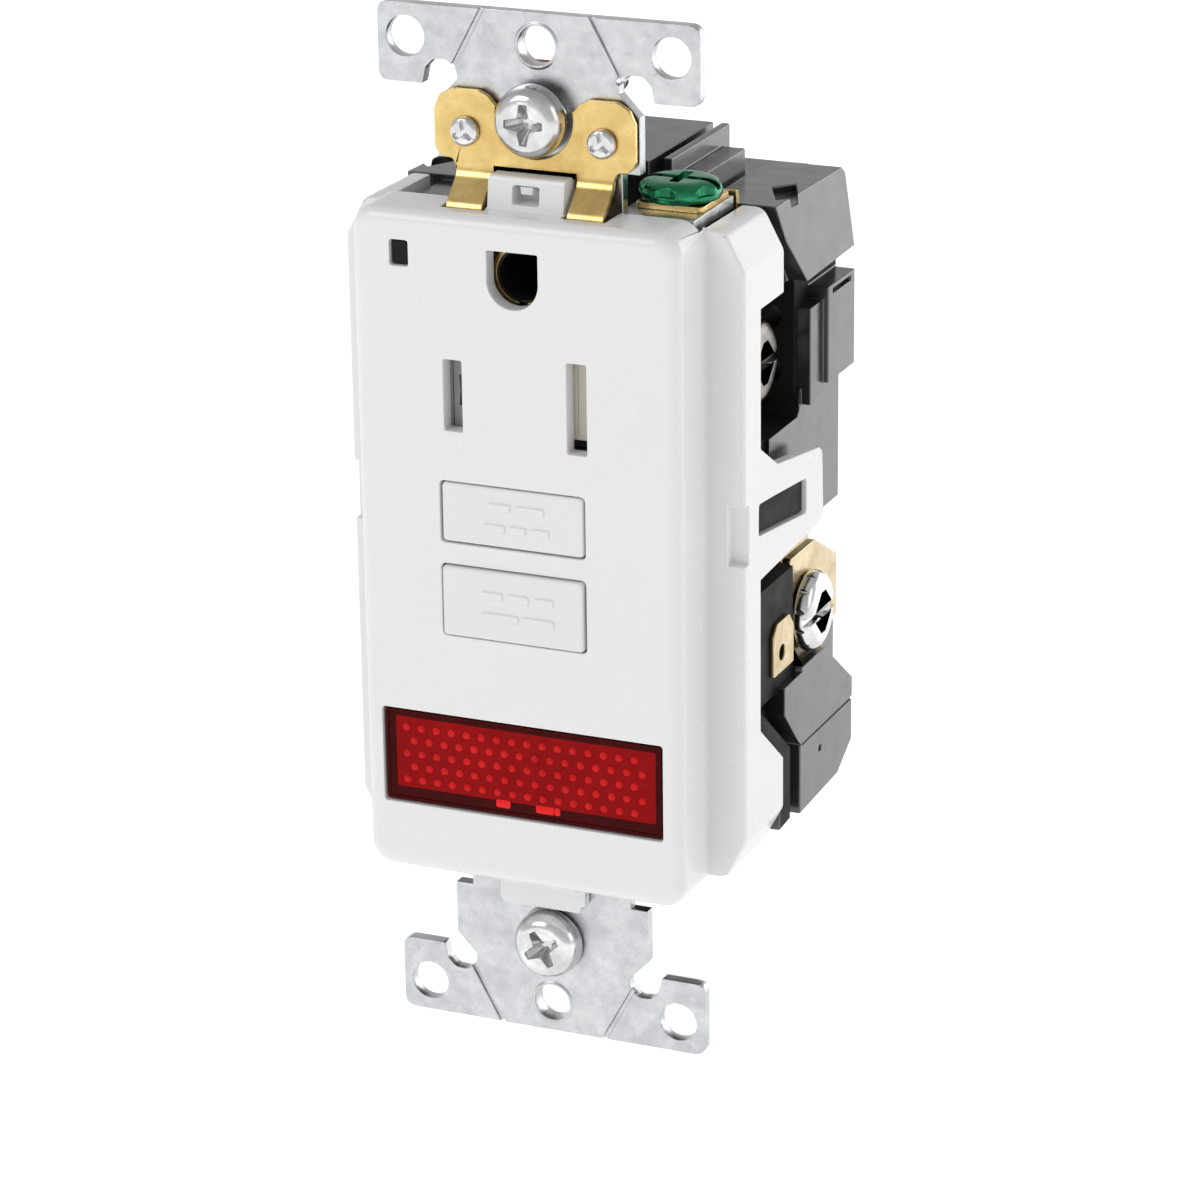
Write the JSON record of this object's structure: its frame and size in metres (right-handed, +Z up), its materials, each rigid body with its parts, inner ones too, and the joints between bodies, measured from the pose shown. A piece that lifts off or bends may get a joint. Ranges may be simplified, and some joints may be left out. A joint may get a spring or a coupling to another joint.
{
  "type": "gfci outlet",
  "caption": "Ground-fault receptacle with test and reset buttons, wide red pilot lens, metal mounting strap with ears, side screw terminals and a black rear housing.",
  "frame": {"origin": "on the back face of the mounting strap, midway between the two mounting screws", "axes": "+Z up along the strap, -Y out of the wall towards the user, +Y into the wall box, +X to the user's right"},
  "size_m": [0.0426, 0.037, 0.103],
  "materials": {
    "zinc_steel": "zinc-plated sheet steel with faint spangle",
    "steel": "bright drawn steel",
    "nickel": "nickel plate",
    "brass": "bright stamped brass",
    "white_plastic": "smooth moulded thermoplastic, satin gloss",
    "black_plastic": "moulded thermoset, satin gloss",
    "grey_plastic": "moulded, matt",
    "beige_plastic": "moulded, matt",
    "green_screw": "green dyed zinc plate",
    "red_lens": "clear red lens with moulded prisms behind",
    "smoke_lens": "smoked clear light pipe",
    "fibre": "vulcanised fibre",
    "board": "solder-masked glass epoxy",
    "led_body": "clear epoxy lamp body",
    "copper": "enamelled copper winding",
    "coil_case": "moulded case",
    "blue_epoxy": "dipped epoxy"
  },
  "bodies": {
    "root": {"assembly_screw_lower_left": "steel", "assembly_screw_lower_right": "steel", "assembly_screw_upper_left": "steel", "assembly_screw_upper_right": "steel", "capacitor": "blue_epoxy", "circuit_board": "board", "front_cover": "white_plastic", "ground_contact": "brass", "ground_strip": "brass", "hot_face_contact": "brass", "hot_shutter_spring": "steel", "line_hot_terminal": "brass", "line_neutral_terminal": "brass", "load_hot_terminal": "brass", "load_neutral_terminal": "brass", "mid_frame": "black_plastic", "neutral_coil": "coil_case", "neutral_face_contact": "brass", "neutral_shutter_spring": "steel", "pilot_board": "board", "pilot_led_left": "led_body", "pilot_led_right": "led_body", "pilot_lens": "red_lens", "plunger_spring": "steel", "rear_cover": "black_plastic", "reset_spring": "steel", "sense_coil": "copper", "shutter_carrier": "grey_plastic", "solenoid_bobbin": "grey_plastic", "solenoid_coil": "copper", "solenoid_frame": "zinc_steel", "status_light_pipe": "smoke_lens", "strip_rivet_left": "nickel", "strip_rivet_right": "nickel", "yoke_strap": "zinc_steel"},
    "reset": {"reset_button": "white_plastic", "reset_pin": "steel"},
    "test": {"test_button": "white_plastic"},
    "test_leaf": {"test_contact_leaf": "brass"},
    "shutter_hot": {"hot_shutter": "grey_plastic"},
    "shutter_neutral": {"neutral_shutter": "beige_plastic"},
    "solenoid_plunger": {"plunger": "steel"},
    "latch": {"latch_block": "black_plastic"},
    "latch_slider": {"latch_plate": "zinc_steel"},
    "arm_hot": {"hot_contact_arm": "brass"},
    "arm_neutral": {"neutral_contact_arm": "brass"},
    "clamp_line_hot": {"line_hot_clamp": "brass"},
    "clamp_line_neutral": {"line_neutral_clamp": "brass"},
    "clamp_load_hot": {"load_hot_clamp": "brass"},
    "clamp_load_neutral": {"load_neutral_clamp": "brass"},
    "screw_line_hot": {"line_hot_screw": "brass"},
    "screw_line_neutral": {"line_neutral_screw": "nickel"},
    "screw_load_hot": {"load_hot_screw": "brass"},
    "screw_load_neutral": {"load_neutral_screw": "nickel"},
    "clamp_ground": {"ground_clamp": "brass"},
    "screw_ground": {"ground_screw": "green_screw"},
    "retainer_top": {"top_screw_retainer": "fibre"},
    "screw_top": {"top_mounting_screw": "nickel"},
    "retainer_bottom": {"bottom_screw_retainer": "fibre"},
    "screw_bottom": {"bottom_mounting_screw": "nickel"}
  },
  "joints": [
    {"name": "reset_press", "type": "slide", "parent": "root", "child": "reset", "axis": [0, 1, 0], "range_m": [0, 0.0022], "stiffness_N_per_m": 900, "springref_m": -0.001, "deforming": ["reset_spring"]},
    {"name": "test_press", "type": "slide", "parent": "root", "child": "test", "axis": [0, 1, 0], "range_m": [0, 0.0012], "stiffness_N_per_m": 600, "springref_m": -0.001},
    {"name": "test_leaf_flex", "type": "hinge", "parent": "root", "child": "test_leaf", "pos_m": [0.008, -0.00175, 0.0042], "axis": [0, 0, -1], "range_deg": [0, 13]},
    {"name": "hot_shutter_slide", "type": "slide", "parent": "root", "child": "shutter_hot", "axis": [1, 0, 0], "range_m": [0, 0.0027], "stiffness_N_per_m": 120, "springref_m": -0.001, "deforming": ["hot_shutter_spring"]},
    {"name": "neutral_shutter_slide", "type": "slide", "parent": "root", "child": "shutter_neutral", "axis": [-1, 0, 0], "range_m": [0, 0.0029], "stiffness_N_per_m": 120, "springref_m": -0.001, "deforming": ["neutral_shutter_spring"]},
    {"name": "latch_lift", "type": "slide", "parent": "root", "child": "latch", "axis": [0, -1, 0], "range_m": [0, 0.0015]},
    {"name": "latch_plate_slide", "type": "slide", "parent": "latch", "child": "latch_slider", "axis": [0, 0, -1], "range_m": [0, 0.0012]},
    {"name": "plunger_pull", "type": "slide", "parent": "root", "child": "solenoid_plunger", "axis": [0, 0, -1], "range_m": [0, 0.0012], "stiffness_N_per_m": 200, "springref_m": -0.001, "deforming": ["plunger_spring"]},
    {"name": "hot_arm_flex", "type": "hinge", "parent": "root", "child": "arm_hot", "pos_m": [-0.00635, 0.0122, -0.0142], "axis": [1, 0, 0], "range_deg": [0, 5.5]},
    {"name": "neutral_arm_flex", "type": "hinge", "parent": "root", "child": "arm_neutral", "pos_m": [0.00635, 0.0122, -0.0142], "axis": [1, 0, 0], "range_deg": [0, 5.5]},
    {"name": "load_hot_clamp_slide", "type": "slide", "parent": "root", "child": "clamp_load_hot", "axis": [-1, 0, 0], "range_m": [0, 0.002]},
    {"name": "load_hot_screw_turn", "type": "hinge", "parent": "clamp_load_hot", "child": "screw_load_hot", "pos_m": [-0.0161, 0.011, 0.0163], "axis": [-1, 0, 0], "range_deg": [0, 908.9]},
    {"name": "line_hot_clamp_slide", "type": "slide", "parent": "root", "child": "clamp_line_hot", "axis": [-1, 0, 0], "range_m": [-0.0019, 0]},
    {"name": "line_hot_screw_turn", "type": "hinge", "parent": "clamp_line_hot", "child": "screw_line_hot", "pos_m": [-0.01895, 0.0194, -0.0114], "axis": [-1, 0, 0], "range_deg": [-863.46, 0]},
    {"name": "load_neutral_clamp_slide", "type": "slide", "parent": "root", "child": "clamp_load_neutral", "axis": [1, 0, 0], "range_m": [0, 0.002]},
    {"name": "load_neutral_screw_turn", "type": "hinge", "parent": "clamp_load_neutral", "child": "screw_load_neutral", "pos_m": [0.0161, 0.011, 0.0163], "axis": [1, 0, 0], "range_deg": [0, 908.9]},
    {"name": "line_neutral_clamp_slide", "type": "slide", "parent": "root", "child": "clamp_line_neutral", "axis": [1, 0, 0], "range_m": [-0.0019, 0]},
    {"name": "line_neutral_screw_turn", "type": "hinge", "parent": "clamp_line_neutral", "child": "screw_line_neutral", "pos_m": [0.01895, 0.0194, -0.0114], "axis": [1, 0, 0], "range_deg": [-863.46, 0]},
    {"name": "ground_clamp_slide", "type": "slide", "parent": "root", "child": "clamp_ground", "axis": [0, 0, 1], "range_m": [0, 0.0015]},
    {"name": "ground_screw_turn", "type": "hinge", "parent": "clamp_ground", "child": "screw_ground", "pos_m": [0.012, 0.0043, 0.0344], "axis": [0, 0, 1], "range_deg": [0, 681.68]},
    {"name": "top_screw_slide", "type": "slide", "parent": "root", "child": "retainer_top", "axis": [0, -1, 0], "range_m": [0, 0.003]},
    {"name": "top_screw_turn", "type": "hinge", "parent": "retainer_top", "child": "screw_top", "pos_m": [0, -0.003, 0.04167], "axis": [0, -1, 0], "continuous": true},
    {"name": "bottom_screw_slide", "type": "slide", "parent": "root", "child": "retainer_bottom", "axis": [0, -1, 0], "range_m": [0, 0.003]},
    {"name": "bottom_screw_turn", "type": "hinge", "parent": "retainer_bottom", "child": "screw_bottom", "pos_m": [0, -0.003, -0.04167], "axis": [0, -1, 0], "continuous": true}
  ],
  "couplings": [
    {"joint": "test_leaf_flex", "follows": "test_press", "rad_per_m": 185},
    {"joint": "hot_arm_flex", "follows": "latch_lift", "rad_per_m": 62.5},
    {"joint": "neutral_arm_flex", "follows": "latch_lift", "rad_per_m": 62.5},
    {"joint": "latch_plate_slide", "follows": "plunger_pull", "ratio": 1},
    {"joint": "load_hot_screw_turn", "follows": "load_hot_clamp_slide", "rad_per_m": 7915.8},
    {"joint": "line_hot_screw_turn", "follows": "line_hot_clamp_slide", "rad_per_m": 7915.8},
    {"joint": "load_neutral_screw_turn", "follows": "load_neutral_clamp_slide", "rad_per_m": 7915.8},
    {"joint": "line_neutral_screw_turn", "follows": "line_neutral_clamp_slide", "rad_per_m": 7915.8},
    {"joint": "ground_screw_turn", "follows": "ground_clamp_slide", "rad_per_m": 7915.8}
  ]
}
